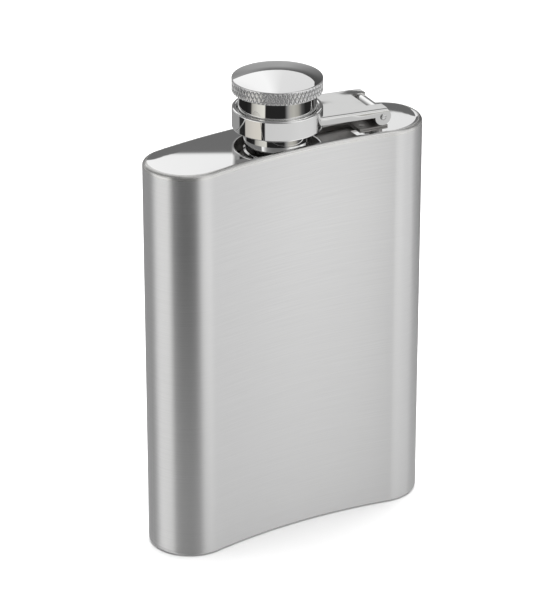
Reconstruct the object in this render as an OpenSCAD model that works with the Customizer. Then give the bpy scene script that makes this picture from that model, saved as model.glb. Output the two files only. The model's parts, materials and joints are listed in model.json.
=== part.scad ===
// Hip flask with a captive screw cap on a hinged arm.
// Origin: middle of the flat base. X runs along the width with the hinge at +X,
// Y runs from the concave front to the convex back, Z is up. Millimetres.
// It is drawn with the cap unscrewed and lifted, still held in its collar.

/* [Body] */
// Width of the flask from end to end
body_w = 92; // [86:0.5:98]
// Thickness of the flask from front to back
body_t = 24.65; // [23.6:0.05:26]
// How far the ends of the mid-line bow forward of its middle
bow = 6.15; // [4.5:0.05:7.5]
// Corner radius where the front meets an end
front_r = 12.88; // [12:0.01:13]
// Corner radius where the back meets an end
back_r = 11.21; // [10.5:0.01:11.5]
// Height of the top plate above the base
body_h = 124.3; // [90:0.1:160]
// Thickness of the body sheet
sheet = 0.6; // [0.4:0.05:0.8]
// Thickness of the top and base plates
plate = 0.8; // [0.6:0.05:1]
// Radius of the polished edge round the two plates
edge_r = 1.15; // [1:0.05:1.2]
// Depth of the skirt by which a plate meets the body
skirt = 1.6; // [1.4:0.1:2]

/* [Neck] */
// Offset of the neck along the width
neck_x = -0.84; // [-3:0.01:3]
// Radius of the neck's bore
neck_bore_r = 8.4; // [7.8:0.05:8.5]
// Radius of the neck at the root of its thread
neck_root_r = 9.5; // [9.4:0.05:9.5]
// Height of the neck's lip above the top plate
neck_h = 7.95; // [7.9:0.01:7.95]
// Height of the shoulder at the neck's foot
shoulder_h = 2; // [1.5:0.1:2.2]
// Axial distance from one turn of the thread to the next
pitch = 2.2; // [2.2:0.01:2.2]
// Height of a thread ridge
ridge = 0.6; // [0.5:0.05:0.6]

/* [Cap] */
// Radius of the knurled head
head_r = 13.42; // [13:0.01:13.5]
// Height of the head's lower edge above the top plate, with the cap lifted
head_z = 14.34; // [14.3:0.01:14.6]
// Height of the knurled band
knurl_h = 3.96; // [3.9:0.01:4.5]
// Rise of the dome above the knurled band
dome_h = 2.4; // [1.5:0.05:3.5]
// Outer radius of the sleeve below the head
sleeve_r = 11.7; // [11.6:0.01:11.75]
// Thickness of the sealing liner
liner_t = 1.5; // [1:0.1:1.6]
// Turns from lifted to screwed down
cap_turns = 2; // [1:1:2]

/* [Collar] */
// Outer radius of the collar
collar_r = 13.45; // [13.4:0.01:13.5]
// Height of the collar's lower edge above the top plate
collar_z = 3.2; // [3:0.05:3.3]
// Height of the collar's upper edge above the top plate
collar_top = 9.32; // [9.3:0.01:9.5]
// Wall thickness of the collar
collar_wall = 0.7; // [0.6:0.05:0.75]
// Thickness of the lip that holds the cap in
lip_t = 0.82; // [0.7:0.01:0.85]
// Inner radius of the lip
lip_r = 12; // [11.95:0.01:12.05]

/* [Hinge] */
// Angle of the arm from the width, seen from above
arm_turn = -4.65; // [-8:0.05:0]
// Angle by which the arm slopes down towards the hinge
arm_slope = 2.19; // [1:0.01:3]
// Distance from the neck's axis to the hinge pin
pin_u = 30.28; // [30:0.01:31]
// Height of the hinge pin above the top plate
pin_z = 3.74; // [3.7:0.01:4]
// Radius of the hinge pin
pin_r = 1; // [0.9:0.05:1.1]
// Width of the arm
arm_w = 18.7; // [18:0.1:20]
// Thickness of the arm's sheet
arm_t = 1; // [0.8:0.05:1]
// Height of the arm's upper face above the pin's axis
arm_top = 2.53; // [2.4:0.01:2.6]
// Height of the arm's side flanges
flange_h = 2.5; // [2:0.1:2.6]
// Radius of the ears round the pin
ear_r = 2.6; // [2.4:0.05:2.7]
// Width of the slot for the bracket's barrel
slot_w = 10.1; // [9:0.1:11]
// Length of the slot on the neck's side of the pin
slot_back = 3.46; // [3.2:0.01:4]
// Radius of the bracket's barrel
barrel_r = 2.15; // [2:0.05:2.2]
// Thickness of the bracket's foot
foot_t = 0.5; // [0.4:0.05:0.5]
// Width of the bracket's foot
foot_w = 16.4; // [14:0.1:16.5]
// Length of the bracket's foot on the neck's side of the pin
foot_back = 7.1; // [6:0.1:8]

/* [Hidden] */
$fn = 96;
eps = 0.01;
far = 200;
// the mid-line of the section is an arc about (0, -mid_r)
mid_r = (body_w * body_w / 4 + bow * bow) / (2 * bow);
face_r = mid_r - body_t / 2;
rear_r = mid_r + body_t / 2;
// centres of the four corner arcs, right-hand pair
front_c = corner_centre(front_r, face_r + front_r);
back_c = corner_centre(back_r, rear_r - back_r);
front_a = atan2(front_c.x, front_c.y + mid_r);
back_a = atan2(back_c.x, back_c.y + mid_r);
// gap between the two halves of the body that a side weld fills
seam_w = 0.6;
seam_y = (front_c.y + back_c.y) / 2;
edge_steps = 4;
weld_t = 0.4;
weld_h = 1;
// running clearances
pin_gap = 0.05;
slot_gap = 0.15;
thread_gap = 0.25;
// the thread, seen as a trapezium that stands on a wall
ridge_foot = 1.2;
ridge_top = 0.5;
ridge_sink = 0.15;
ridge_steps = 36;
thread_z = 3.3;
neck_thread_turns = 1.5;
cap_thread_turns = 1.25;
crest_r = neck_root_r + ridge;
// cap
travel = pitch * cap_turns;
sleeve_bore_r = crest_r + thread_gap;
liner_z = neck_h + travel + 0.05;
ceiling_z = liner_z + liner_t + 0.1;
ceiling_t = 1.2;
socket_z = head_z + 3.4;
ring_t = 1;
ring_z = collar_top - lip_t - ring_t - 0.12;
ring_r = collar_r - collar_wall - 0.3;
ring_seat_r = sleeve_r - 0.5;
dome_r = (head_r * head_r + dome_h * dome_h) / (2 * dome_h);
head_chamfer = 0.4;
liner_r = sleeve_bore_r - 0.3;
cap_thread_z = thread_z + 2.5 * pitch;
fade_steps = 6;
// neck
neck_below = 2;
lip_chamfer = 0.4;
braze_w = 1.2;
// hinge
bend_r = 0.9;
web_t = 1.1;
barrel_w = slot_w - 2 * slot_gap;
arm_tail = 1.5;
weld_a = 32;
arm_under_z = pin_z + arm_top - arm_t + (pin_u - collar_r) * tan(arm_slope) + 0.05;
steel = [0.72, 0.73, 0.74];
bright = [0.86, 0.87, 0.88];
weld_grey = [0.58, 0.58, 0.6];

// centre of the corner arc of radius r that lies at the given reach from the mid-line's centre
function corner_centre(r, reach) =
    let (x = body_w / 2 - r)
    [x, sqrt(reach * reach - x * x) - mid_r];

// point at radius r from the mid-line's centre, at angle a from the middle
function polar(r, a) = [r * sin(a), r * cos(a) - mid_r];

// section of the flask, drawn in by inset: two long arcs and two rounded ends
module section(inset = 0) {
    intersection() {
        translate([0, -mid_r]) difference() {
            circle(r = rear_r - inset, $fn = 360);
            circle(r = face_r + inset, $fn = 360);
        }
        polygon([[0, -mid_r], polar(face_r, front_a), polar(rear_r, back_a),
                 [0, 2 * rear_r], polar(rear_r, -back_a), polar(face_r, -front_a)]);
    }
    for (side = [0, 1]) mirror([side, 0]) {
        translate(front_c) circle(r = front_r - inset);
        translate(back_c) circle(r = back_r - inset);
        polygon([front_c, [body_w / 2 - inset, front_c.y],
                 [body_w / 2 - inset, back_c.y], back_c,
                 polar(rear_r - inset, back_a), polar(face_r + inset, front_a)]);
    }
}

module section_ring(outer, inner, h) {
    linear_extrude(h) difference() {
        section(outer);
        section(inner);
    }
}

// drawn end plate: flat face at z = 0, an edge that rounds over in fine steps, and a skirt
module end_plate() {
    step_a = 90 / edge_steps;
    difference() {
        for (i = [0:edge_steps]) {
            rise = i < edge_steps ? sin((i + 0.5) * step_a) : 1;
            translate([0, 0, -skirt]) linear_extrude(skirt - edge_r * (1 - rise))
                section(edge_r * (1 - cos(i * step_a)));
        }
        translate([0, 0, -skirt - plate]) linear_extrude(skirt) section(sheet);
    }
}

// ridge of a screw thread: side is 1 on the outside of a wall and -1 inside a bore
module thread(wall_r, z0, turns, side) {
    n = round(turns * ridge_steps);
    tip_r = [for (i = [0:n]) wall_r + side * ridge * min(1, i / fade_steps, (n - i) / fade_steps)];
    points = [for (i = [0:n])
        let (a = 360 * i / ridge_steps, z = z0 + pitch * i / ridge_steps)
        each [for (corner = [[wall_r - side * ridge_sink, -ridge_foot / 2],
                             [tip_r[i], -ridge_top / 2],
                             [tip_r[i], ridge_top / 2],
                             [wall_r - side * ridge_sink, ridge_foot / 2]])
            [corner[0] * cos(a), corner[0] * sin(a), z + corner[1]]]];
    sides = [for (i = [0:n - 1], k = [0:3])
        let (j = (k + 1) % 4)
        [4 * i + k, 4 * i + j, 4 * i + 4 + j, 4 * i + 4 + k]];
    ends = [[3, 2, 1, 0], [4 * n, 4 * n + 1, 4 * n + 2, 4 * n + 3]];
    faces = concat(sides, ends);
    polyhedron(points, side > 0 ? faces : flipped(faces));
}

function flipped(faces) = [for (f = faces) [for (i = [len(f) - 1:-1:0]) f[i]]];

// rectangle with round corners
module rounded(w, h, r) {
    translate([r, 0]) square([w - 2 * r, h]);
    translate([0, r]) square([w, h - 2 * r]);
    for (x = [r, w - r], y = [r, h - r]) translate([x, y]) circle(r = r, $fn = 32);
}

// plain tube about Z
module tube(outer_r, inner_r, z0, z1) {
    translate([0, 0, z0]) difference() {
        cylinder(r = outer_r, h = z1 - z0);
        translate([0, 0, -eps]) cylinder(r = inner_r, h = z1 - z0 + 2 * eps);
    }
}

module on_neck() { translate([neck_x, 0, body_h]) children(); }
module on_arm() { on_neck() rotate([0, 0, arm_turn]) children(); }
// at the foot of the hinge, and at the pin with x along the sloping arm
module at_foot() { on_arm() translate([pin_u, 0, 0]) children(); }
module at_pin() { at_foot() translate([0, 0, pin_z]) rotate([0, arm_slope, 0]) children(); }
// cylinder along the pin's axis, centred on the arm
module across(r, w) { rotate([90, 0, 0]) cylinder(r = r, h = w, center = true); }

// the thin wall of the body, between the skirts of the two plates
module body_wall() {
    translate([0, 0, skirt]) section_ring(0, sheet, body_h - 2 * skirt);
}

module body_front() {
    color(steel) difference() {
        body_wall();
        translate([-far / 2, seam_y - seam_w / 2, -eps]) cube(far);
    }
}

module body_back() {
    color(steel) difference() {
        body_wall();
        translate([-far / 2, seam_y + seam_w / 2 - far, -eps]) cube(far);
    }
}

module side_welds() {
    color(weld_grey) intersection() {
        body_wall();
        translate([-far / 2, seam_y - seam_w / 2, 0]) cube([far, seam_w, far]);
    }
}

module top_plate() {
    color(bright) difference() {
        translate([0, 0, body_h]) end_plate();
        on_neck() translate([0, 0, -far / 2]) cylinder(r = neck_root_r, h = far);
    }
}

module base_plate() {
    color(bright) mirror([0, 0, 1]) end_plate();
}

module top_rim_weld() {
    color(weld_grey) translate([0, 0, body_h - skirt - weld_h / 2])
        section_ring(sheet, sheet + weld_t, weld_h);
}

module base_rim_weld() {
    color(weld_grey) translate([0, 0, skirt - weld_h / 2])
        section_ring(sheet, sheet + weld_t, weld_h);
}

module neck() {
    color(bright) on_neck() {
        difference() {
            union() {
                translate([0, 0, -neck_below]) cylinder(r = neck_root_r, h = neck_below + neck_h - lip_chamfer);
                translate([0, 0, neck_h - lip_chamfer])
                    cylinder(r1 = neck_root_r, r2 = neck_root_r - lip_chamfer, h = lip_chamfer);
                cylinder(r = crest_r, h = shoulder_h);
                thread(neck_root_r, thread_z, neck_thread_turns, 1);
            }
            translate([0, 0, -far / 2]) cylinder(r = neck_bore_r, h = far);
        }
    }
}

module neck_braze() {
    color(weld_grey) on_neck() rotate_extrude()
        polygon([[neck_root_r, -plate], [neck_root_r + braze_w, -plate], [neck_root_r, -plate - braze_w]]);
}

module hinge_bracket() {
    color(bright) difference() {
        union() {
            at_foot() translate([-foot_back, -foot_w / 2, 0])
                cube([foot_back + barrel_r, foot_w, foot_t]);
            at_foot() translate([barrel_r - web_t, -barrel_w / 2, 0]) cube([web_t, barrel_w, pin_z]);
            at_foot() translate([0, 0, pin_z]) across(barrel_r, barrel_w);
        }
        at_foot() translate([0, 0, pin_z]) across(pin_r + pin_gap, far);
    }
}

module bracket_welds() {
    color(weld_grey) at_foot() for (y = [-1, 0, 1])
        translate([-foot_back + 2, y * foot_w / 3, foot_t]) cylinder(r = 0.9, h = 0.12);
}

// cross-section of the arm: a shallow channel with rounded bends
module channel() {
    difference() {
        union() {
            translate([-arm_w / 2, arm_top - flange_h]) square([arm_w, flange_h - bend_r]);
            translate([-arm_w / 2 + bend_r, arm_top - bend_r]) square([arm_w - 2 * bend_r, bend_r]);
            for (side = [-1, 1]) translate([side * (arm_w / 2 - bend_r), arm_top - bend_r])
                circle(r = bend_r, $fn = 32);
        }
        translate([-arm_w / 2 + arm_t, arm_top - arm_t - flange_h]) square([arm_w - 2 * arm_t, flange_h]);
    }
}

module hinge_arm() {
    color(bright) difference() {
        union() {
            at_pin() translate([-pin_u + 8, 0, 0]) rotate([90, 0, 90])
                linear_extrude(pin_u - 8 + arm_tail) channel();
            at_pin() for (side = [-1, 1]) translate([0, side * (arm_w - arm_t) / 2, 0]) across(ear_r, arm_t);
        }
        on_arm() translate([0, 0, -eps]) cylinder(r = collar_r, h = 20);
        at_pin() translate([-slot_back, -slot_w / 2, -far / 2]) cube([far, slot_w, far]);
        at_pin() across(pin_r, far);
    }
}

module collar() {
    color(bright) on_neck() rotate_extrude() {
        translate([collar_r - collar_wall, collar_z])
            rounded(collar_wall, collar_top - collar_z, collar_wall * 0.4);
        translate([lip_r, collar_top - lip_t]) rounded(collar_r - lip_r, lip_t, lip_t * 0.4);
    }
}

module arm_weld() {
    color(weld_grey) on_arm() rotate([0, 0, -weld_a]) rotate_extrude(angle = 2 * weld_a)
        translate([collar_r, arm_under_z]) polygon([[0, 0], [0.8, 0], [0, -0.8]]);
}

module hinge_pin() {
    color(steel) at_pin() {
        across(pin_r, arm_w + 0.2);
        for (side = [-1, 1]) translate([0, side * (arm_w / 2 + 0.1), 0]) rotate([-90 * side, 0, 0])
            cylinder(r1 = pin_r, r2 = pin_r * 0.6, h = 0.2);
    }
}

module cap_liner() {
    color("white") on_neck() translate([0, 0, liner_z]) cylinder(r = liner_r, h = liner_t);
}

module cap_head() {
    color(steel) on_neck() difference() {
        union() {
            translate([0, 0, head_z]) cylinder(r1 = head_r - head_chamfer, r2 = head_r, h = head_chamfer);
            translate([0, 0, head_z + head_chamfer]) cylinder(r = head_r, h = knurl_h - head_chamfer);
            intersection() {
                translate([0, 0, head_z + knurl_h + dome_h - dome_r]) sphere(r = dome_r, $fn = 180);
                translate([0, 0, head_z + knurl_h - eps]) cylinder(r = head_r + 1, h = 2 * dome_h);
            }
        }
        translate([0, 0, head_z - eps]) cylinder(r = sleeve_r, h = socket_z - head_z + eps);
    }
}

module cap_sleeve() {
    color(bright) on_neck() {
        difference() {
            union() {
                translate([0, 0, ring_z]) cylinder(r = ring_seat_r, h = ring_t);
                translate([0, 0, ring_z + ring_t]) cylinder(r = sleeve_r, h = socket_z - ring_z - ring_t);
            }
            translate([0, 0, ring_z - eps]) cylinder(r = sleeve_bore_r, h = ceiling_z - ring_z + eps);
            translate([0, 0, ceiling_z + ceiling_t]) cylinder(r = sleeve_bore_r, h = far);
        }
        thread(sleeve_bore_r, cap_thread_z, cap_thread_turns, -1);
    }
}

module retaining_ring() {
    color(bright) on_neck() tube(ring_r, ring_seat_r, ring_z, ring_z + ring_t);
}

body_front();
body_back();
side_welds();
top_plate();
base_plate();
top_rim_weld();
base_rim_weld();
neck();
neck_braze();
hinge_bracket();
bracket_welds();
hinge_arm();
collar();
arm_weld();
hinge_pin();
cap_liner();
cap_head();
cap_sleeve();
retaining_ring();
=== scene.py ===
"""Looks for the hip flask: fine meshes, materials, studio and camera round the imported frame."""
import json
import math

import bmesh
import bpy
from mathutils import Matrix, Vector


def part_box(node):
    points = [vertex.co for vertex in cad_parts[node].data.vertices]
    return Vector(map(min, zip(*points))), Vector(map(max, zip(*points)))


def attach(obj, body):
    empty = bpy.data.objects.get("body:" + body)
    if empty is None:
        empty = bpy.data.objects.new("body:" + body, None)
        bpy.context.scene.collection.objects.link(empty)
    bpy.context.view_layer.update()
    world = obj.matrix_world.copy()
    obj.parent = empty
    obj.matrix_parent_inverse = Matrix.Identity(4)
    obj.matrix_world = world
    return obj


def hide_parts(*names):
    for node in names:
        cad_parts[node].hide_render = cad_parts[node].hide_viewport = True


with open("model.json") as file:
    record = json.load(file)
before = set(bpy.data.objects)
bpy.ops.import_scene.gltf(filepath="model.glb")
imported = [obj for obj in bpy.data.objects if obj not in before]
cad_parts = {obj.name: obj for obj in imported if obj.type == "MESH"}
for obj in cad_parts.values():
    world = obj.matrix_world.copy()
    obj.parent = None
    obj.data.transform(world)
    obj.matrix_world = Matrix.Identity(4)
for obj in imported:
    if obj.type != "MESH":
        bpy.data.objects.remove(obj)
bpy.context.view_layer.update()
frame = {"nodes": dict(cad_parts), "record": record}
MM = 0.001


# ---------------------------------------------------------------- sizes, in millimetres
def node_box(node):
    """Lowest and highest corner of a CAD node, in millimetres."""
    low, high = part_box(node)
    return [c / MM for c in low], [c / MM for c in high]


shell_low, shell_high = node_box("body_front")
collar_low, collar_high = node_box("collar")
head_low, head_high = node_box("cap_head")
neck_low, neck_high = node_box("neck")
sleeve_low, sleeve_high = node_box("cap_sleeve")
ring_low, ring_high = node_box("retaining_ring")
liner_low, liner_high = node_box("cap_liner")

BODY_W = shell_high[0] - shell_low[0]
BODY_H = node_box("top_plate")[1][2]
SKIRT = shell_low[2]
NECK_X = (collar_low[0] + collar_high[0]) / 2

# the section of the body, with the CAD's dimensions; the CAD solids themselves stand up to
# 1.1 mm proud of this outline at the two back corners, through a fault in their section
BODY_T = 24.65
BOW = 6.15
FRONT_R = 12.88
BACK_R = 11.21
SHEET = 0.6
PLATE = 0.8
EDGE_R = 1.15
MID_R = (BODY_W ** 2 / 4 + BOW ** 2) / (2 * BOW)
FACE_R = MID_R - BODY_T / 2
REAR_R = MID_R + BODY_T / 2

# the neck and cap, about the neck's axis
NECK_ROOT_R = 9.5
NECK_BORE_R = 8.4
RIDGE = 0.6
PITCH = 2.2
THREAD_Z = 3.3
NECK_TURNS = 1.5
CAP_TURNS = 1.25
CAP_THREAD_UP = 2.5
RIDGE_FOOT = 0.6
RIDGE_TIP = 0.25
RIDGE_SINK = 0.1
CREST_R = NECK_ROOT_R + RIDGE
HEAD_R = (head_high[0] - head_low[0]) / 2
KNURL_H = 3.96
SLEEVE_R = (sleeve_high[0] - sleeve_low[0]) / 2
SLEEVE_BORE_R = CREST_R + 0.25
COLLAR_R = (collar_high[0] - collar_low[0]) / 2
COLLAR_WALL = 0.7
LIP_T = 0.82
LIP_R = 12.0

# the arm and its hinge
PIN = [joint for joint in frame["record"]["behaviour"]["joints"] if joint["name"] == "lid_swing"][0]
PIN_POS = [c / MM for c in PIN["pos_m"]]
ARM_TURN = -math.atan2(PIN["axis"][0], PIN["axis"][1])
ARM_SLOPE = math.radians(2.19)
PIN_U = math.hypot(PIN_POS[0] - NECK_X, PIN_POS[1])
PIN_R = 1.0
ARM_W = 18.7
ARM_T = 1.0
ARM_TOP = 2.53
FLANGE_H = 2.5
EAR_R = 2.6
ARM_TAIL = 1.5
ARM_ROOT = 8
ARM_END = 6
SLOT_W = 10.1
SLOT_BACK = 3.46
BEND_R = 0.9
BEAD = 0.4
BARREL_R = 2.15
BARREL_W = 9.8
WEB_T = 1.1
FOOT_T = 0.5
FOOT_W = 16.4
FOOT_BACK = 7.1


# ---------------------------------------------------------------- mesh helpers
def make_mesh(name, points, faces, place=None, sharp=35):
    """A smooth-shaded object from points in millimetres; edges sharper than sharp stay crisp."""
    mesh = bpy.data.meshes.new(name)
    if place:
        points = [place @ Vector(p) for p in points]
    mesh.from_pydata([[c * MM for c in p] for p in points], [], faces)
    mesh.validate()
    turned = bmesh.new()
    turned.from_mesh(mesh)
    bmesh.ops.recalc_face_normals(turned, faces=turned.faces)
    turned.to_mesh(mesh)
    turned.free()
    mesh.shade_smooth()
    mesh.set_sharp_from_angle(angle=math.radians(sharp))
    piece = bpy.data.objects.new(name, mesh)
    bpy.context.scene.collection.objects.link(piece)
    return piece


def strip_faces(rows, n, closed_rows=False):
    """Faces between rows of n points each, every row a closed ring."""
    faces = []
    for i in range(rows if closed_rows else rows - 1):
        a, b = i * n, ((i + 1) % rows) * n
        for k in range(n):
            j = (k + 1) % n
            faces.append([a + k, a + j, b + j, b + k])
    return faces


def finish_piece(piece, body, nodes, material):
    """Puts a new piece on its body in place of the CAD nodes it stands for."""
    weighted = piece.modifiers.new("weighted", "WEIGHTED_NORMAL")
    weighted.keep_sharp = True
    apply_modifiers(piece)
    piece.data.materials.append(material)
    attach(piece, body)
    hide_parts(*nodes)
    return piece


def arc(cx, cy, r, start, end, steps):
    """Points on an arc, angles in degrees, both ends included."""
    angles = [math.radians(start + (end - start) * i / steps) for i in range(steps + 1)]
    return [(cx + r * math.cos(a), cy + r * math.sin(a)) for a in angles]


NECK_PLACE = Matrix.Translation((NECK_X, 0, BODY_H))
FOOT_PLACE = NECK_PLACE @ Matrix.Rotation(ARM_TURN, 4, "Z") @ Matrix.Translation((PIN_U, 0, 0))
PIN_PLACE = (FOOT_PLACE @ Matrix.Translation((0, 0, PIN_POS[2] - BODY_H))
             @ Matrix.Rotation(ARM_SLOPE, 4, "Y"))


def lathe(name, profile, steps=192, closed=True, sharp=35):
    """Turns a profile of (radius, height above the top plate) round the neck's axis."""
    rows, points, faces = [], [], []
    for r, z in profile:
        if r < 1e-6:
            rows.append([len(points)] * steps)
            points.append((0, 0, z))
            continue
        rows.append([len(points) + k for k in range(steps)])
        turn = 2 * math.pi / steps
        points += [(r * math.cos(k * turn), r * math.sin(k * turn), z) for k in range(steps)]
    pairs = list(zip(rows, rows[1:])) + ([(rows[-1], rows[0])] if closed else [])
    for low, high in pairs:
        for k in range(steps):
            j = (k + 1) % steps
            face = list(dict.fromkeys([low[k], low[j], high[j], high[k]]))
            if len(face) > 2:
                faces.append(face)
    return make_mesh(name, points, faces, NECK_PLACE, sharp)


# ---------------------------------------------------------------- the body's section
def corner_centre(r, reach):
    x = BODY_W / 2 - r
    return x, math.sqrt(reach ** 2 - x ** 2) - MID_R


FRONT_C = corner_centre(FRONT_R, FACE_R + FRONT_R)
BACK_C = corner_centre(BACK_R, REAR_R - BACK_R)
FRONT_A = math.degrees(math.atan2(FRONT_C[0], FRONT_C[1] + MID_R))
BACK_A = math.degrees(math.atan2(BACK_C[0], BACK_C[1] + MID_R))


def section(inset=0.0):
    """The outline of the flask, anticlockwise from the middle of the front, drawn in by inset."""
    half = arc(0, -MID_R, FACE_R + inset, 90, 90 - FRONT_A, 48)[:-1]
    half += arc(*FRONT_C, FRONT_R - inset, -90 - FRONT_A, 0, 56)
    half += arc(*BACK_C, BACK_R - inset, 0, 90 - BACK_A, 48)
    half += arc(0, -MID_R, REAR_R - inset, 90 - BACK_A, 90, 48)[1:]
    return half + [(-x, y) for x, y in reversed(half[1:-1])]


def section_rows(steps):
    """Rows of the outline, one for each (inset, height) step."""
    return [[(x, y, z) for x, y in section(inset)] for inset, z in steps]


def loft(name, rows, closed=True, caps=(), sharp=35):
    n = len(rows[0])
    points = [p for row in rows for p in row]
    faces = strip_faces(len(rows), n, closed)
    if "first" in caps:
        faces.append(list(range(n))[::-1])
    if "last" in caps:
        faces.append([(len(rows) - 1) * n + k for k in range(n)])
    return make_mesh(name, points, faces, None, sharp)


def mark(piece, name, rule):
    """Stores rule(point in millimetres) on every vertex, for a material to read."""
    values = piece.data.attributes.new(name, "FLOAT", "POINT")
    values.data.foreach_set("value", [rule(v.co / MM) for v in piece.data.vertices])


def fillet(corners, steps=6):
    """Closed profile with rounded corners, from (x, y, radius) corners."""
    points = []
    for i, (x, y, r) in enumerate(corners):
        here = Vector((x, y))
        if r <= 0:
            points.append((x, y))
            continue
        back = (Vector(corners[i - 1][:2]) - here).normalized()
        ahead = (Vector(corners[(i + 1) % len(corners)][:2]) - here).normalized()
        half = back.angle(ahead) / 2
        reach = r / math.tan(half)
        centre = here + (back + ahead).normalized() * (r / math.sin(half))
        start, end = here + back * reach - centre, here + ahead * reach - centre
        for k in range(steps + 1):
            aim = start.slerp(end, k / steps) if start.angle(end) > 1e-4 else start
            points.append(tuple(centre + aim.normalized() * r))
    return points


def ridge_mesh(wall_r, z0, turns, side):
    """Points and faces of a screw ridge: side is 1 outside a wall and -1 inside a bore."""
    per_turn, fade = 120, 20
    n = round(turns * per_turn)
    points = []
    for i in range(n + 1):
        a = 2 * math.pi * i / per_turn
        z = z0 + PITCH * i / per_turn
        tip = wall_r + side * RIDGE * min(1, i / fade, (n - i) / fade)
        root = wall_r - side * RIDGE_SINK
        for r, dz in ((root, -RIDGE_FOOT), (tip, -RIDGE_TIP), (tip, RIDGE_TIP), (root, RIDGE_FOOT)):
            points.append((r * math.cos(a), r * math.sin(a), z + dz))
    faces = [[4 * i + k, 4 * i + (k + 1) % 4, 4 * i + 4 + (k + 1) % 4, 4 * i + 4 + k]
             for i in range(n) for k in range(4)]
    return points, faces + [[3, 2, 1, 0], [4 * n, 4 * n + 1, 4 * n + 2, 4 * n + 3]]


def join(first, *others):
    """Joins meshes into the first object."""
    with bpy.context.temp_override(active_object=first, selected_editable_objects=[first, *others]):
        bpy.ops.object.join()
    return first


def boolean(piece, tool, operation):
    """Cuts or adds tool, which is then removed."""
    change = piece.modifiers.new("cut", "BOOLEAN")
    change.operation, change.solver, change.object = operation, "EXACT", tool
    apply_modifiers(piece)
    bpy.data.objects.remove(tool)


def apply_modifiers(piece):
    graph = bpy.context.evaluated_depsgraph_get()
    mesh = bpy.data.meshes.new_from_object(piece.evaluated_get(graph))
    piece.modifiers.clear()
    piece.data = mesh


def soften(piece, width, segments=3, angle=30):
    """Small round bevels on the crisp edges, with flat faces kept flat."""
    bevel = piece.modifiers.new("bevel", "BEVEL")
    bevel.width, bevel.segments = width * MM, segments
    bevel.limit_method, bevel.angle_limit = "ANGLE", math.radians(angle)
    bevel.use_clamp_overlap = True
    apply_modifiers(piece)
    piece.data.set_sharp_from_angle(angle=math.radians(60))


def prism(name, outline, low, high, place):
    """Extrudes an outline along the place's own Z, from low to high."""
    n = len(outline)
    points = [(x, y, z) for z in (low, high) for x, y in outline]
    faces = strip_faces(2, n) + [list(range(n))[::-1], list(range(n, 2 * n))]
    return make_mesh(name, points, faces, place, 20)


def box(name, low, high, place):
    outline = [(low[0], low[1]), (high[0], low[1]), (high[0], high[1]), (low[0], high[1])]
    return prism(name, outline, low[2], high[2], place)


def circle(r, steps=96, cx=0.0, cy=0.0):
    return arc(cx, cy, r, 0, 360 - 360 / steps, steps - 1)


# ---------------------------------------------------------------- the pieces
SEAM_Y = (FRONT_C[1] + BACK_C[1]) / 2
SEAM_HALF = 0.3
EDGE_EASE = 0.005


def half_outline(front, inset):
    """One half of the body's outline, from the left seam to the right seam."""
    if front:
        stop = math.degrees(math.asin((SEAM_Y - SEAM_HALF - FRONT_C[1]) / FRONT_R))
        half = arc(0, -MID_R, FACE_R + inset, 90, 90 - FRONT_A, 60)[:-1]
        half += arc(*FRONT_C, FRONT_R - inset, -90 - FRONT_A, stop, 60)
    else:
        start = math.degrees(math.asin((SEAM_Y + SEAM_HALF - BACK_C[1]) / BACK_R))
        half = arc(0, -MID_R, REAR_R - inset, 90, 90 - BACK_A, 60)[:-1]
        half += arc(*BACK_C, BACK_R - inset, 90 - BACK_A, start, 60)
    return [(-x, y) for x, y in reversed(half[1:])] + half


# the haze stays whole this far from the middle of the front, and is lost further round
WEAR_HALF = 30
WEAR_LOSS = 0.7
WEAR_START = 9
WEAR_FADE = 4


def wear(p):
    """How hazy the brushing is: most on the broad front, least round the narrow sides and behind."""
    if abs(p.x) < WEAR_HALF and p.y < 0:
        return 1.0
    return 1 - WEAR_LOSS * min(1.0, max(0.0, (p.y - FRONT_C[1] + WEAR_START) / WEAR_FADE))


def body_half(name, front, material):
    """Half of the brushed body: a formed sheet with slightly eased edges."""
    rows = []
    low, high = SKIRT, BODY_H - SKIRT
    for z, ease in ((low, EDGE_EASE), (low + EDGE_EASE, 0), (high - EDGE_EASE, 0), (high, EDGE_EASE)):
        loop = half_outline(front, ease) + half_outline(front, SHEET)[::-1]
        rows.append([(x, y, z) for x, y in loop])
    piece = loft(name + "_sheet", rows, closed=False, caps=("first", "last"), sharp=50)
    mark(piece, "worn", wear)
    return finish_piece(piece, "flask", [name], material)


def side_welds(material):
    """The two dressed weld lines down the narrow sides."""
    parts = []
    front_x = FRONT_C[0] + math.sqrt(FRONT_R ** 2 - (SEAM_Y - SEAM_HALF - FRONT_C[1]) ** 2)
    back_x = BACK_C[0] + math.sqrt(BACK_R ** 2 - (SEAM_Y + SEAM_HALF - BACK_C[1]) ** 2)
    for side in (-1, 1):
        outline = [(side * (BODY_W / 2 - SHEET), SEAM_Y - SEAM_HALF), (side * front_x, SEAM_Y - SEAM_HALF),
                   (side * back_x, SEAM_Y + SEAM_HALF), (side * (BODY_W / 2 - SHEET), SEAM_Y + SEAM_HALF)]
        parts.append(prism("side_weld_line", outline, SKIRT, BODY_H - SKIRT, Matrix()))
    piece = join(*parts)
    piece.name = "side_weld_lines"
    return finish_piece(piece, "flask", ["side_welds"], material)


def rim_rows(top, crown):
    """Steps of (inset, height) up the skirt and round the edge of a plate, from below."""
    rows = [(EDGE_EASE, top - SKIRT), (0, top - SKIRT + EDGE_EASE)]
    for i in range(13):
        a = math.pi / 2 * i / 12
        rows.append((EDGE_R * (1 - math.cos(a)), top - crown - EDGE_R * (1 - math.sin(a))))
    return rows


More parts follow.
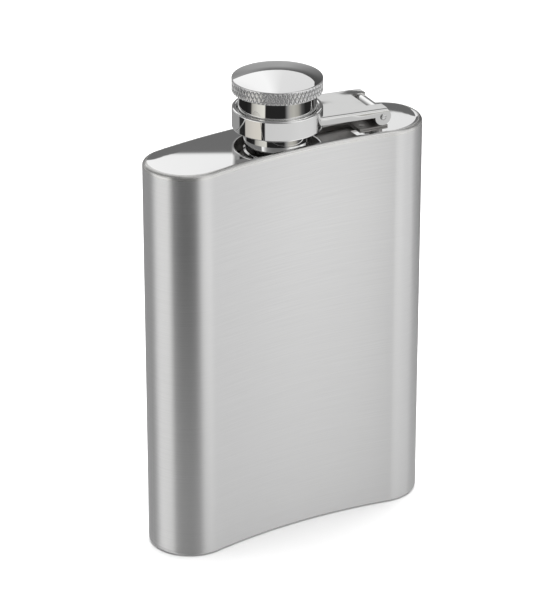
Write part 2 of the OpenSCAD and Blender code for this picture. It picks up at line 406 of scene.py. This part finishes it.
def depth_inside(x, y):
    """How far a point of the plate lies inside the outline."""
    x = abs(x)
    side = BODY_W / 2 - x
    reach = math.hypot(x, y + MID_R)
    angle = math.degrees(math.atan2(x, y + MID_R))
    front = back = side
    if angle < FRONT_A:
        front = reach - FACE_R
    elif y < FRONT_C[1]:
        front = FRONT_R - math.hypot(x - FRONT_C[0], y - FRONT_C[1])
    if angle < BACK_A:
        back = REAR_R - reach
    elif y > BACK_C[1]:
        back = BACK_R - math.hypot(x - BACK_C[0], y - BACK_C[1])
    return min(front, back, side)


# chosen so that the plate's reflections bend as in the photo
CROWN = 0.03
CROWN_REACH = 4.0
TWIST = 0.0062
TWIST_LEAD = 10
TWIST_RUN = 40
POLISH_OUT = 0.75
POLISH_MIDDLE = 2
POLISH_HALF = 34
POLISH_FADE = 0.2
PLATE_LEDGE = 0.3


def crown_height(x, y):
    """The plate eases down towards its rim and is twisted by a hair."""
    short = max(0.0, 1 - (depth_inside(x, y) - EDGE_R) / CROWN_REACH)
    twisted = min(1.0, max(0.0, (x + TWIST_LEAD) / TWIST_RUN))
    return BODY_H - CROWN * short ** 2 + TWIST * y * twisted


def rim_share(p):
    """1 on the brushed edge of the top plate and 0 on its polished middle.

    The polish reaches further out in front of the neck, as the photo's reflections suggest.
    """
    reach = max(0.0, 1 - ((p.x - POLISH_MIDDLE) / POLISH_HALF) ** 2)
    polish = POLISH_OUT * reach if p.y < 0 else 0.0
    return min(1.0, max(0.0, 1 - (depth_inside(p.x, p.y) - EDGE_R + polish) / POLISH_FADE))


def top_plate(material):
    rows = section_rows(rim_rows(BODY_H, CROWN))
    rim = section(EDGE_R)
    inner = []
    for x, y in rim:
        aim = Vector((x - NECK_X, y)).normalized() * NECK_ROOT_R
        inner.append((NECK_X + aim.x, aim.y))
    for t in (0.012, 0.03, 0.05, 0.08, 0.12, 0.17, 0.24, 0.32, 0.42, 0.53, 0.66, 0.8, 1):
        row = [(a[0] + (b[0] - a[0]) * t, a[1] + (b[1] - a[1]) * t) for a, b in zip(rim, inner)]
        rows.append([(x, y, crown_height(x, y)) for x, y in row])
    rows.append([(x, y, BODY_H - PLATE) for x, y in inner])
    under = BODY_H - PLATE - CROWN
    rows += section_rows([(SHEET + PLATE_LEDGE, under), (SHEET, under), (SHEET, BODY_H - SKIRT)])
    piece = loft("top_plate_polished", rows, sharp=40)
    mark(piece, "brushed", rim_share)
    return finish_piece(piece, "flask", ["top_plate"], material)


def rim_weld(node, material):
    """Bead inside the joint between the body and a plate."""
    low, high = (corner[2] for corner in node_box(node))
    steps = [(SHEET, low), (SHEET, high), (SHEET + BEAD, high), (SHEET + BEAD, low)]
    piece = loft(node + "_bead", section_rows(steps), sharp=40)
    return finish_piece(piece, "flask", [node], material)


def base_plate(material):
    steps = [(EDGE_R + 0.15, 0)] + [(i, BODY_H - z) for i, z in reversed(rim_rows(BODY_H, 0))]
    steps += [(SHEET, SKIRT), (SHEET, PLATE)]
    piece = loft("base_plate_brushed", section_rows(steps), closed=False, caps=("first", "last"), sharp=40)
    mark(piece, "worn", lambda p: 1.0)
    return finish_piece(piece, "flask", ["base_plate"], material)


CREST_DRAFT = 0.08


def neck(material):
    top = neck_high[2] - BODY_H
    below = neck_low[2] - BODY_H
    shoulder = 2.0
    profile = fillet([(NECK_BORE_R, below, 0.1), (NECK_ROOT_R, below, 0.1), (NECK_ROOT_R, 0, 0),
                      (CREST_R, 0, 0), (CREST_R - CREST_DRAFT, shoulder, 0.3),
                      (NECK_ROOT_R, shoulder, 0.1), (NECK_ROOT_R, top, 0.45), (NECK_BORE_R, top, 0.3)])
    tube = lathe("neck_spout", profile)
    thread = make_mesh("neck_thread", *ridge_mesh(NECK_ROOT_R, THREAD_Z, NECK_TURNS, 1), NECK_PLACE)
    piece = join(tube, thread)
    return finish_piece(piece, "flask", ["neck"], material)


def collar(material):
    low, high = collar_low[2] - BODY_H, collar_high[2] - BODY_H
    inner = COLLAR_R - COLLAR_WALL
    profile = fillet([(inner, low, 0.2), (COLLAR_R, low, 0.3), (COLLAR_R, high, 0.4), (LIP_R, high, 0.4),
                      (LIP_R, high - LIP_T, 0.2), (inner, high - LIP_T, 0.1)])
    piece = lathe("collar_ring", profile, steps=256)
    bore, under_lip = inner + 0.1, collar_high[2] - LIP_T
    # the bore and the underside of the lip are rougher, and their colour is darkened there as painted shade
    mark(piece, "unpolished_painted_shade",
         lambda p: 1.0 if math.hypot(p.x - NECK_X, p.y) < bore and p.z < under_lip else 0.0)
    return finish_piece(piece, "lid", ["collar"], material)


SLEEVE_DRAFT = 0.22
RING_SEAT = 0.5
CEILING_T = 1.2


def cap_sleeve(material):
    low = sleeve_low[2] - BODY_H
    high = sleeve_high[2] - BODY_H
    ring_top = ring_high[2] - BODY_H
    ceiling = liner_high[2] - BODY_H + 0.1
    seat = SLEEVE_R - RING_SEAT
    under_head = head_low[2] - BODY_H
    top_r = SLEEVE_R - SLEEVE_DRAFT
    profile = fillet([(SLEEVE_BORE_R, low, 0.1), (seat, low, 0.1), (seat, ring_top, 0),
                      (SLEEVE_R, ring_top, 0.1), (SLEEVE_R, ring_top + 0.6, 0), (top_r, under_head, 0),
                      (top_r, high, 0), (SLEEVE_BORE_R, high, 0), (SLEEVE_BORE_R, ceiling + CEILING_T, 0)])
    profile += [(0, ceiling + CEILING_T), (0, ceiling), (SLEEVE_BORE_R, ceiling)]
    tube = lathe("cap_sleeve_shell", profile, closed=True)
    foot = THREAD_Z + CAP_THREAD_UP * PITCH
    thread = make_mesh("cap_thread", *ridge_mesh(SLEEVE_BORE_R, foot, CAP_TURNS, -1), NECK_PLACE)
    piece = join(tube, thread)
    return finish_piece(piece, "cap", ["cap_sleeve"], material)


def retaining_ring(material):
    low, high = ring_low[2] - BODY_H, ring_high[2] - BODY_H
    seat, outer = SLEEVE_R - RING_SEAT, (ring_high[0] - ring_low[0]) / 2
    profile = fillet([(seat, low, 0), (outer, low, 0.2), (outer, high, 0.2), (seat, high, 0)])
    piece = lathe("cap_retaining_ring", profile)
    return finish_piece(piece, "cap", ["retaining_ring"], material)


def cap_liner(material):
    low, high = liner_low[2] - BODY_H, liner_high[2] - BODY_H
    r = (liner_high[0] - liner_low[0]) / 2
    groove = 0.25
    profile = [(0, high), (0, low)] + fillet([(6.4, low, 0), (6.9, low + groove, 0.2), (7.4, low, 0)])
    profile += fillet([(r, low, 0.35), (r, high, 0.2), (r - 1, high, 0)])[:-1]
    piece = lathe("cap_seal_disc", profile, closed=True)
    return finish_piece(piece, "seal", ["cap_liner"], material)


KNURLS = 60
KNURL_LEAN = math.radians(28)
KNURL_DEPTH = 0.26
KNURL_GROOVE = 0.16
KNURL_PILLOW = 0.045


def knurl_cut(angle, z):
    """Depth of the diamond knurling at an angle round the cap and a height up its band."""
    pitch = 2 * math.pi / KNURLS
    lean = math.tan(KNURL_LEAN) / HEAD_R
    reach = [abs((angle + way * z * lean + pitch / 2) % pitch - pitch / 2) / pitch for way in (-1, 1)]
    pillow = sum((1 - 2 * r) ** 2 for r in reach) / 2
    groove = max(0.0, 1 - min(reach) / KNURL_GROOVE)
    return KNURL_DEPTH * groove ** 2 * (3 - 2 * groove) + KNURL_PILLOW * pillow


def cap_head(material):
    """Knurled band with plain edges, and a low dome."""
    low, high = head_low[2] - BODY_H, head_high[2] - BODY_H
    band = low + KNURL_H
    rise = high - band
    dome_r = (HEAD_R ** 2 + rise ** 2) / (2 * rise)
    socket = sleeve_high[2] - BODY_H
    around = KNURLS * 20
    profile = [(0, socket, 0), (SLEEVE_R, socket, 0), (SLEEVE_R, low + 0.2, 0), (SLEEVE_R + 0.2, low, 0),
               (HEAD_R - 0.45, low, 0), (HEAD_R - 0.3, low + 0.03, 0), (HEAD_R - 0.12, low + 0.12, 0.25)]
    steps = 44
    start, end = low + 0.2, band - 0.22
    for i in range(steps + 1):
        z = start + (end - start) * i / steps
        profile.append((HEAD_R, z, min(1.0, 0.4 + 3 * i / steps, 0.2 + 5 * (1 - i / steps))))
    profile += [(HEAD_R, band - 0.1, 0), (HEAD_R - 0.05, band + 0.02, 0)]
    for i in range(1, 29):
        r = (HEAD_R - 0.12) * (1 - (i / 28) ** 1.3)
        profile.append((r, high - dome_r + math.sqrt(dome_r ** 2 - r ** 2), 0))
    rows, points, faces = [], [], []
    for r, z, cut in profile:
        if r < 1e-6:
            rows.append([len(points)] * around)
            points.append((0, 0, z))
            continue
        rows.append([len(points) + k for k in range(around)])
        for k in range(around):
            a = 2 * math.pi * k / around
            deep = r - (cut * knurl_cut(a, z - low) if cut else 0)
            points.append((deep * math.cos(a), deep * math.sin(a), z))
    for below, above in zip(rows, rows[1:]):
        for k in range(around):
            j = (k + 1) % around
            face = list(dict.fromkeys([below[k], below[j], above[j], above[k]]))
            if len(face) > 2:
                faces.append(face)
    piece = make_mesh("cap_knurled_head", points, faces, NECK_PLACE, 75)
    mark(piece, "knurled", lambda p: 1.0 if p.z < BODY_H + band - 0.15 else 0.0)
    return finish_piece(piece, "cap", ["cap_head"], material)


# how far the cutting shapes reach, clear of all that they cut
PAST = 9
WELL_PAST = 20


def hinge_arm(material):
    """Stamped arm: a shallow channel with a slot, and round ears for the pin."""
    w, top, low = ARM_W / 2, ARM_TOP, ARM_TOP - FLANGE_H
    back = -PIN_U + ARM_ROOT
    channel = fillet([(-w, -PAST, 0), (-w, top, BEND_R), (w, top, BEND_R), (w, -PAST, 0),
                      (w - ARM_T, -PAST, 0), (w - ARM_T, top - ARM_T, 0.2),
                      (-w + ARM_T, top - ARM_T, 0.2), (-w + ARM_T, -PAST, 0)], steps=8)
    along = PIN_PLACE @ Matrix.Rotation(math.pi / 2, 4, "Z") @ Matrix.Rotation(math.pi / 2, 4, "X")
    sheet = prism("arm_sheet", channel, back, ARM_END, along)
    across = PIN_PLACE @ Matrix.Rotation(math.pi / 2, 4, "X")
    start = 180 + math.degrees(math.asin(-low / EAR_R))
    side = [(back - 1, low)] + arc(0, 0, EAR_R, start, 360 + math.degrees(math.acos(ARM_TAIL / EAR_R)), 40)
    side += [(ARM_TAIL, top + 1), (back - 1, top + 1)]
    boolean(sheet, prism("arm_side", side, -WELL_PAST, WELL_PAST, across), "INTERSECT")
    boolean(sheet, prism("ring_cut", circle(COLLAR_R - 0.02, 256), 0, WELL_PAST, NECK_PLACE), "DIFFERENCE")
    half, wide, end = SLOT_W / 2, w - ARM_T + 0.03, ARM_TAIL - 0.02
    slot = [(-SLOT_BACK, -half), (end, -half), (end, -wide), (PAST, -wide),
            (PAST, wide), (end, wide), (end, half), (-SLOT_BACK, half)]
    boolean(sheet, prism("slot", slot, -PAST, PAST, PIN_PLACE), "DIFFERENCE")
    boolean(sheet, prism("hole", circle(PIN_R), -WELL_PAST, WELL_PAST, across), "DIFFERENCE")
    soften(sheet, 0.16)
    sheet.name = "hinge_arm_sheet"
    flat = PIN_PLACE.inverted()
    # the arm's inner faces are rougher, and their colour is darkened as painted shade under the arm
    mark(sheet, "unpolished_painted_shade",
         lambda p: 1.0 if (flat @ p).z < top - 0.5 and abs((flat @ p).y) < w - 0.5 else 0.0)
    return finish_piece(sheet, "lid", ["hinge_arm"], material)


def hinge_bracket(material):
    """Welded foot with a web and a barrel that the pin runs through."""
    pin_up = PIN_POS[2] - BODY_H
    across = FOOT_PLACE @ Matrix.Translation((0, 0, pin_up)) @ Matrix.Rotation(math.pi / 2, 4, "X")
    half = BARREL_W / 2
    foot = box("foot", (-FOOT_BACK, -FOOT_W / 2, 0), (BARREL_R, FOOT_W / 2, FOOT_T), FOOT_PLACE)
    web = box("web", (BARREL_R - WEB_T, -half, FOOT_T / 2), (BARREL_R, half, pin_up), FOOT_PLACE)
    boolean(foot, web, "UNION")
    boolean(foot, prism("barrel", circle(BARREL_R), -half, half, across), "UNION")
    boolean(foot, prism("bore", circle(PIN_R + 0.05), -WELL_PAST, WELL_PAST, across), "DIFFERENCE")
    soften(foot, 0.12)
    foot.name = "hinge_bracket_sheet"
    # the foot and web under the arm are rougher, and their colour is darkened as painted shade
    mark(foot, "unpolished_painted_shade", lambda p: 1.0 if p.z < PIN_POS[2] - 0.3 else 0.0)
    return finish_piece(foot, "flask", ["hinge_bracket"], material)


def hinge_pin(material):
    """Plain pin with lightly peened ends."""
    reach = ARM_W / 2 + 0.1
    steps = 48
    rows = [(0.5, -reach - 0.2), (0.85, -reach - 0.13), (PIN_R, -reach),
            (PIN_R, reach), (0.85, reach + 0.13), (0.5, reach + 0.2)]
    points = [(r * math.cos(2 * math.pi * k / steps), r * math.sin(2 * math.pi * k / steps), z)
              for r, z in rows for k in range(steps)]
    last = (len(rows) - 1) * steps
    faces = strip_faces(len(rows), steps) + [list(range(steps))[::-1], [last + k for k in range(steps)]]
    across = PIN_PLACE @ Matrix.Rotation(math.pi / 2, 4, "X")
    piece = make_mesh("hinge_pin_rod", points, faces, across)
    return finish_piece(piece, "lid", ["hinge_pin"], material)


# ---------------------------------------------------------------- materials
def new_material(name, color, roughness, metallic=1.0, **sockets):
    material = bpy.data.materials.new(name)
    material.use_nodes = True
    shader = material.node_tree.nodes["Principled BSDF"]
    shader.inputs["Base Color"].default_value = (*color, 1)
    shader.inputs["Roughness"].default_value = roughness
    shader.inputs["Metallic"].default_value = metallic
    for socket, value in sockets.items():
        shader.inputs[socket.replace("_", " ")].default_value = value
    return material, shader


def node(owner, kind, **values):
    """A shader node of a material or world, with its settings and unlinked inputs set."""
    made = owner.node_tree.nodes.new(kind)
    for name, value in values.items():
        if name in made.inputs:
            made.inputs[name].default_value = value
        else:
            setattr(made, name, value)
    return made


def link(owner, source, target):
    owner.node_tree.links.new(source, target)


def math_node(owner, operation, *inputs):
    made = node(owner, "ShaderNodeMath", operation=operation)
    for i, value in enumerate(inputs):
        if isinstance(value, (int, float)):
            made.inputs[i].default_value = value
        else:
            link(owner, value, made.inputs[i])
    return made.outputs[0]


def ramp(owner, factor, stops):
    """A colour ramp fed by factor, from (position, value or colour) stops."""
    made = node(owner, "ShaderNodeValToRGB")
    link(owner, factor, made.inputs["Fac"])
    elements = made.color_ramp.elements
    while len(elements) < len(stops):
        elements.new(0.5)
    for element, (position, value) in zip(elements, stops):
        element.position = position
        element.color = (*value, 1) if isinstance(value, tuple) else (value, value, value, 1)
    return made.outputs["Color"]


def noise(material, vector_scale, scale, detail=2.0):
    """Noise in the object's own millimetres, stretched by vector_scale."""
    place = node(material, "ShaderNodeTexCoord")
    stretch = node(material, "ShaderNodeMapping")
    stretch.inputs["Scale"].default_value = vector_scale
    link(material, place.outputs["Object"], stretch.inputs["Vector"])
    made = node(material, "ShaderNodeTexNoise", Scale=scale, Detail=detail)
    link(material, stretch.outputs["Vector"], made.inputs["Vector"])
    return made.outputs["Fac"]


def bump(material, shader, height, strength, distance):
    made = node(material, "ShaderNodeBump", Strength=strength, Distance=distance)
    link(material, height, made.inputs["Height"])
    link(material, made.outputs["Normal"], shader.inputs["Normal"])


def brush_lines(material, shader, dark, light, roughness):
    """Fine scratches that run round the flask, so highlights stretch up and down it."""
    tangent = node(material, "ShaderNodeTangent", direction_type="RADIAL", axis="Z")
    link(material, tangent.outputs["Tangent"], shader.inputs["Tangent"])
    shader.inputs["Anisotropic"].default_value = 1.0
    shader.inputs["Anisotropic Rotation"].default_value = 0.25
    streaks = noise(material, (60, 60, 6000), 1.0, 3.0)
    link(material, ramp(material, streaks, [(0.3, dark), (0.7, light)]), shader.inputs["Base Color"])
    rough = ramp(material, streaks, [(0.3, roughness * 0.92), (0.7, roughness * 1.08)])
    link(material, rough, shader.inputs["Roughness"])
    bump(material, shader, streaks, 0.06, 0.00003)


def mix_shaders(material, factor, first, second):
    """Puts a mix of two shaders on the surface: factor is the second one's share."""
    both = node(material, "ShaderNodeMixShader")
    link(material, factor, both.inputs["Fac"])
    link(material, first.outputs["BSDF"], both.inputs[1])
    link(material, second.outputs["BSDF"], both.inputs[2])
    link(material, both.outputs["Shader"], material.node_tree.nodes["Material Output"].inputs["Surface"])


# the haze's share at the foot, and the height in metres where it ends; fitted to the photo
HAZE_AT_FOOT = 0.44
HAZE_TOP = 0.1
HAZE_GREY = 0.40
BODY_ROUGHNESS = 0.34


def brushed_steel():
    """The body's brushing, a little hazier towards the foot."""
    material, shader = new_material("brushed_steel_body", (0.72, 0.72, 0.72), BODY_ROUGHNESS)
    brush_lines(material, shader, (0.69, 0.69, 0.69), (0.75, 0.75, 0.75), BODY_ROUGHNESS)
    haze = node(material, "ShaderNodeBsdfDiffuse", Roughness=0.3)
    haze.inputs["Color"].default_value = (HAZE_GREY, HAZE_GREY, HAZE_GREY, 1)
    place = node(material, "ShaderNodeTexCoord")
    split = node(material, "ShaderNodeSeparateXYZ")
    link(material, place.outputs["Object"], split.inputs["Vector"])
    amount = node(material, "ShaderNodeMapRange")
    link(material, split.outputs["Z"], amount.inputs["Value"])
    amount.inputs["From Min"].default_value = 0.0
    amount.inputs["From Max"].default_value = HAZE_TOP
    amount.inputs["To Min"].default_value = HAZE_AT_FOOT
    amount.inputs["To Max"].default_value = 0.0
    factor = math_node(material, "MULTIPLY", amount.outputs["Result"], share(material, "worn"))
    mix_shaders(material, factor, shader, haze)
    return material


def share(material, name):
    """The value that mark() stored on the mesh."""
    return node(material, "ShaderNodeAttribute", attribute_name=name).outputs["Fac"]


def polished_parts():
    """Mirror-polished fittings, left duller on the inside, where their colour is also darkened as painted
    shade.
    """
    steel = (0.86, 0.86, 0.855)
    material, shader = new_material("polished_steel_parts", steel, 0.02)
    dull_painted_shade = share(material, "unpolished_painted_shade")
    link(material, ramp(material, dull_painted_shade, [(0, 0.02), (1, 0.45)]), shader.inputs["Roughness"])
    # the unpolished share also darkens the colour, as painted shade
    link(material, ramp(material, dull_painted_shade, [(0, steel), (1, (0.36, 0.35, 0.34))]), shader.inputs["Base Color"])
    return material


# slope, its direction and wave height of the arm's bump shading only, fitted to the photo's reflections
ARM_LEAN = 0.028
ARM_LEAN_WAY = (0.515, 0.857)
ARM_WAVE = 0.00005


def polished_arm():
    """As the other fittings, but its shading is faintly wavy and leans a little one way."""
    steel = (0.7, 0.7, 0.695)
    material, shader = new_material("polished_steel_arm", steel, 0.025)
    dull_painted_shade = share(material, "unpolished_painted_shade")
    link(material, ramp(material, dull_painted_shade, [(0, 0.025), (1, 0.45)]), shader.inputs["Roughness"])
    # the arm's unpolished inside is also darkened, as painted shade
    link(material, ramp(material, dull_painted_shade, [(0, steel), (1, (0.45, 0.44, 0.43))]), shader.inputs["Base Color"])
    place = node(material, "ShaderNodeTexCoord")
    lean = node(material, "ShaderNodeVectorMath", operation="DOT_PRODUCT")
    link(material, place.outputs["Object"], lean.inputs[0])
    lean.inputs[1].default_value = (ARM_LEAN * ARM_LEAN_WAY[0], ARM_LEAN * ARM_LEAN_WAY[1], 0)
    waves = noise(material, (1, 1, 1), 120, 0.0)
    height = node(material, "ShaderNodeMath", operation="MULTIPLY_ADD")
    link(material, waves, height.inputs[0])
    height.inputs[1].default_value = ARM_WAVE
    link(material, lean.outputs["Value"], height.inputs[2])
    bump(material, shader, height.outputs[0], 1.0, 1.0)
    return material


def polished_plate():
    """A flat mirror with a brushed edge."""
    material, shader = new_material("polished_steel_plate", (0.86, 0.86, 0.86), 0.01)
    edge = node(material, "ShaderNodeBsdfPrincipled", Metallic=1.0)
    brush_lines(material, edge, (0.65, 0.645, 0.635), (0.80, 0.795, 0.78), 0.28)
    mix_shaders(material, share(material, "brushed"), shader, edge)
    return material


def polished_cap():
    """Mirror dome over a satin knurled band."""
    material, shader = new_material("polished_steel_cap", (0.84, 0.84, 0.84), 0.03)
    band_share = share(material, "knurled")
    link(material, ramp(material, band_share, [(0, 0.03), (1, 0.14)]), shader.inputs["Roughness"])
    link(material, ramp(material, band_share, [(0, 0.84), (1, 0.68)]), shader.inputs["Base Color"])
    return material


def plain_metal(name, color, roughness):
    material, shader = new_material(name, color, roughness)
    grain = noise(material, (1, 1, 1), 3000, 3.0)
    rough = ramp(material, grain, [(0.3, roughness * 0.8), (0.7, roughness * 1.25)])
    link(material, rough, shader.inputs["Roughness"])
    bump(material, shader, grain, 0.15, 0.00003)
    return material


def silicone():
    material, shader = new_material("white_silicone", (0.82, 0.82, 0.79), 0.5, 0.0)
    shader.inputs["Subsurface Weight"].default_value = 0.15
    shader.inputs["Subsurface Scale"].default_value = 0.001
    grain = noise(material, (1, 1, 1), 2500, 2.0)
    bump(material, shader, grain, 0.2, 0.00004)
    return material


# ---------------------------------------------------------------- the studio
# What the steel reflects, fitted to the photo's reflections, so this is not plain light.
# Each list goes round the flask: degrees from +Y towards +X, then brightness or colour.
WALLS = [(-180, 0.36), (-174, 0.26), (-166, 0.20), (-158, 0.18), (-133, 0.192), (-122, 0.242),
         (-114, 0.315), (-107, 0.62), (-100, 1.12), (-90, 1.2), (-68, 1.3), (-60, 1.3), (-54, 0.82),
         (-46, 0.57), (-36, 0.5), (30, 0.49), (62, 0.74), (84, 0.72), (90, 0.73), (104, 0.9),
         (118, 1.2), (130, 1.1), (140, 1.13), (150, 1.18), (158, 1.1), (166, 1.0), (173, 0.72), (180, 0.36)]
COLLAR_VIEW = [(-180, 0.7), (-118.5, 0.66), (-117.5, 0.02), (-109.5, 0.02), (-108.5, (0.86, 0.82, 0.74)),
               (-86, (0.80, 0.76, 0.70)), (-62, (0.66, 0.63, 0.59)), (-59, 0.02), (-40, 0.03),
               (-36, 0.34), (50, 0.3), (64, 0.03), (80, 0.05), (88, 0.6), (110, 0.72), (150, 0.74),
               (180, 0.7)]
SLEEVE_VIEW = [(-180, 0.3), (-171, 0.02), (-114.2, 0.02), (-113.4, (0.85, 0.84, 0.78)),
               (-90, (0.72, 0.71, 0.66)), (-72, (0.45, 0.44, 0.41)), (-66, 0.03), (-50, 0.015),
               (80, 0.02), (122, 0.02), (136, 0.1), (148, (0.38, 0.37, 0.34)),
               (162, (0.5, 0.49, 0.45)), (173, (0.45, 0.44, 0.41)), (180, 0.3)]
FAR_WALL = [(-180, 0.3), (-90, 0.4), (0, 0.34), (16, 0.24), (24, 0.36), (33, 0.41), (39, 0.24),
            (46, 0.13), (54, 0.08), (66, 0.15), (80, 0.35), (140, 0.5), (180, 0.3)]
UNDER_EDGE = [(-180, 0.2), (-90, 0.35), (14, 0.35), (22, 0.30), (28, 0.17), (36, 0.15), (44, 0.09),
              (54, 0.07), (100, 0.1), (140, 0.4), (180, 0.2)]
CEILING = [(-180, 0.7), (-125, 0.4), (-105, 0.22), (-20, 0.22), (-8, 0.58), (4, 0.95), (14, 1.08),
           (24, 1.1), (34, 0.86), (54, 0.84), (64, 0.4), (74, 0.16), (100, 0.18), (118, 0.5),
           (140, 1.0), (180, 0.9)]
# shares from 0 to 1 of the far wall and of the two bands above the horizon
FAR_SHARE = [(-180, 0), (-20, 0), (5, 1), (95, 1), (115, 0), (180, 0)]
SIDES = [(-180, 1), (-25, 1), (-10, 0), (70, 0), (85, 1), (180, 1)]
# the elevation of the ceiling's edge, as a share of 90 degrees
EDGE = [(-180, 0.6), (-120, 0.6), (-90, 0.2488), (32, 0.2488), (33, 0.2466), (34, 0.2466),
        (35, 0.2488), (40.5, 0.262), (45, 0.30), (49, 0.345), (54, 0.44), (62, 0.53), (100, 0.45),
        (130, 0.27), (155, 0.27), (180, 0.6)]
# elevations, in degrees: the bands that the collar and sleeve reflect, and soft starts with their blur
COLLAR_BAND = (20.85, 23.1)
SLEEVE_BAND = (15.6, 20.6)
BAND_BLUR = 0.15
FAR_START, FAR_BLUR = -8, 4
UNDER_EDGE_START, UNDER_EDGE_BLUR = -6, 5
EDGE_BLUR = 0.03
OVER_ALL = 200


def by_azimuth(world, turn, stops):
    """A ramp over the compass round the flask, from (degrees from +Y towards +X, value) stops."""
    return ramp(world, turn, [(azimuth / 360 + 0.5, value) for azimuth, value in stops])


def mix(world, factor, a, b):
    made = node(world, "ShaderNodeMix", data_type="RGBA")
    link(world, factor, made.inputs["Factor"])
    for socket, value in ((made.inputs[6], a), (made.inputs[7], b)):
        if isinstance(value, tuple):
            socket.default_value = (*value, 1)
        else:
            link(world, value, socket)
    return made.outputs[2]


def band(world, elevation, low, high, blur):
    """1 between two elevations, in degrees, with soft edges."""
    up = node(world, "ShaderNodeMapRange", interpolation_type="SMOOTHSTEP")
    down = node(world, "ShaderNodeMapRange", interpolation_type="SMOOTHSTEP")
    for made, edge, ends in ((up, low, (0, 1)), (down, high, (1, 0))):
        link(world, elevation, made.inputs["Value"])
        made.inputs["From Min"].default_value = edge - blur
        made.inputs["From Max"].default_value = edge + blur
        made.inputs["To Min"].default_value, made.inputs["To Max"].default_value = ends
    return math_node(world, "MULTIPLY", up.outputs["Result"], down.outputs["Result"])


def studio_world():
    """White to the camera; to the steel, a ring of bright panels and dark gaps under a ceiling."""
    world = bpy.data.worlds.new("studio")
    bpy.context.scene.world = world
    world.use_nodes = True
    out = world.node_tree.nodes["Background"]
    place = node(world, "ShaderNodeTexCoord")
    split = node(world, "ShaderNodeSeparateXYZ")
    link(world, place.outputs["Generated"], split.inputs["Vector"])
    x, y, z = split.outputs
    heading = math_node(world, "ARCTAN2", x, y)
    turn = math_node(world, "ADD", math_node(world, "DIVIDE", heading, 2 * math.pi), 0.5)
    elevation = math_node(world, "MULTIPLY", math_node(world, "ARCSINE", z), 180 / math.pi)

    walls = by_azimuth(world, turn, WALLS)
    collar_view = by_azimuth(world, turn, COLLAR_VIEW)
    sleeve_view = by_azimuth(world, turn, SLEEVE_VIEW)
    level = math_node(world, "ABSOLUTE", elevation)
    low = math_node(world, "LESS_THAN", elevation, 0.0)
    sides = math_node(world, "MAXIMUM", low, by_azimuth(world, turn, SIDES))
    collar_band = math_node(world, "MULTIPLY", sides, band(world, level, *COLLAR_BAND, BAND_BLUR))
    sleeve_band = math_node(world, "MULTIPLY", sides, band(world, level, *SLEEVE_BAND, BAND_BLUR))
    far = by_azimuth(world, turn, FAR_WALL)
    under_edge = by_azimuth(world, turn, UNDER_EDGE)
    behind = by_azimuth(world, turn, FAR_SHARE)
    far_part = band(world, elevation, FAR_START, OVER_ALL, FAR_BLUR)
    below = mix(world, math_node(world, "MULTIPLY", behind, far_part), walls, far)
    edge = math_node(world, "MULTIPLY", by_azimuth(world, turn, EDGE), 90)
    over = math_node(world, "SUBTRACT", elevation, edge)
    edge_part = band(world, over, UNDER_EDGE_START, OVER_ALL, UNDER_EDGE_BLUR)
    below = mix(world, math_node(world, "MULTIPLY", behind, edge_part), below, under_edge)
    lamp = by_azimuth(world, turn, CEILING)
    lit = mix(world, band(world, over, 0, OVER_ALL, EDGE_BLUR), below, lamp)
    lit = mix(world, collar_band, lit, collar_view)
    lit = mix(world, sleeve_band, lit, sleeve_view)
    seen = node(world, "ShaderNodeLightPath")
    link(world, mix(world, seen.outputs["Is Camera Ray"], lit, (1.0, 1.0, 1.0)), out.inputs["Color"])


# metres, and the drop that keeps the floor clear of the base
FLOOR_REACH = 4.0
FLOOR_DROP = 0.00005
LAMP_WIDTH = math.radians(60)
LAMP_ENERGY = 4.4
LAMP_LEAN = (-0.135, 0.09, 0)


def floor():
    """Plain white floor, and a broad overhead light that only matt surfaces show."""
    mesh = bpy.data.meshes.new("studio_floor")
    far = FLOOR_REACH
    mesh.from_pydata([(-far, -far, 0), (far, -far, 0), (far, far, 0), (-far, far, 0)], [], [[0, 1, 2, 3]])
    ground = bpy.data.objects.new("studio_floor", mesh)
    ground.location.z = -FLOOR_DROP
    bpy.context.scene.collection.objects.link(ground)
    material, _ = new_material("white_floor", (0.92, 0.92, 0.92), 0.9, 0.0)
    mesh.materials.append(material)
    ground.visible_glossy = False
    light = bpy.data.lights.new("overhead_softbox", "SUN")
    light.angle = LAMP_WIDTH
    light.energy = LAMP_ENERGY
    lamp = bpy.data.objects.new("overhead_softbox", light)
    lamp.rotation_euler = LAMP_LEAN
    lamp.visible_glossy = False
    bpy.context.scene.collection.objects.link(lamp)


def camera():
    """Three-quarter view from above the front, the flask upright and the lens unshifted."""
    eye = Vector((-0.45645, -0.75977, 0.48362))
    heading, dip = 0.5399, 0.43614
    focal_px, long_side_px = 3242.8, 600
    data = bpy.data.cameras.new("camera")
    data.sensor_width = 36
    data.lens = focal_px / long_side_px * data.sensor_width
    data.clip_start, data.clip_end = 0.01, 20
    eye_object = bpy.data.objects.new("camera", data)
    eye_object.location = eye
    eye_object.rotation_euler = (math.pi / 2 - dip, 0, -heading)
    bpy.context.scene.collection.objects.link(eye_object)
    bpy.context.scene.camera = eye_object


# ---------------------------------------------------------------- putting it together
camera()
studio_world()
floor()
bpy.context.scene.view_settings.view_transform = "Standard"

brushed = brushed_steel()
mirror_plate = polished_plate()
mirror_parts = polished_parts()
mirror_arm = polished_arm()
mirror_cap = polished_cap()
pin_steel = plain_metal("turned_steel", (0.6, 0.6, 0.6), 0.25)
weld = plain_metal("dressed_weld", (0.5, 0.49, 0.48), 0.4)
seal = silicone()

body_half("body_front", True, brushed)
body_half("body_back", False, brushed)
side_welds(brushed)
top_plate(mirror_plate)
base_plate(brushed)
rim_weld("top_rim_weld", weld)
rim_weld("base_rim_weld", weld)
neck(mirror_parts)
collar(mirror_parts)
hinge_arm(mirror_arm)
hinge_bracket(mirror_parts)
hinge_pin(pin_steel)
cap_sleeve(mirror_parts)
retaining_ring(mirror_parts)
cap_head(mirror_cap)
cap_liner(seal)
for name in ("neck_braze", "bracket_welds", "arm_weld"):
    welded = frame["nodes"][name]
    for socket in welded.material_slots:
        socket.material = weld
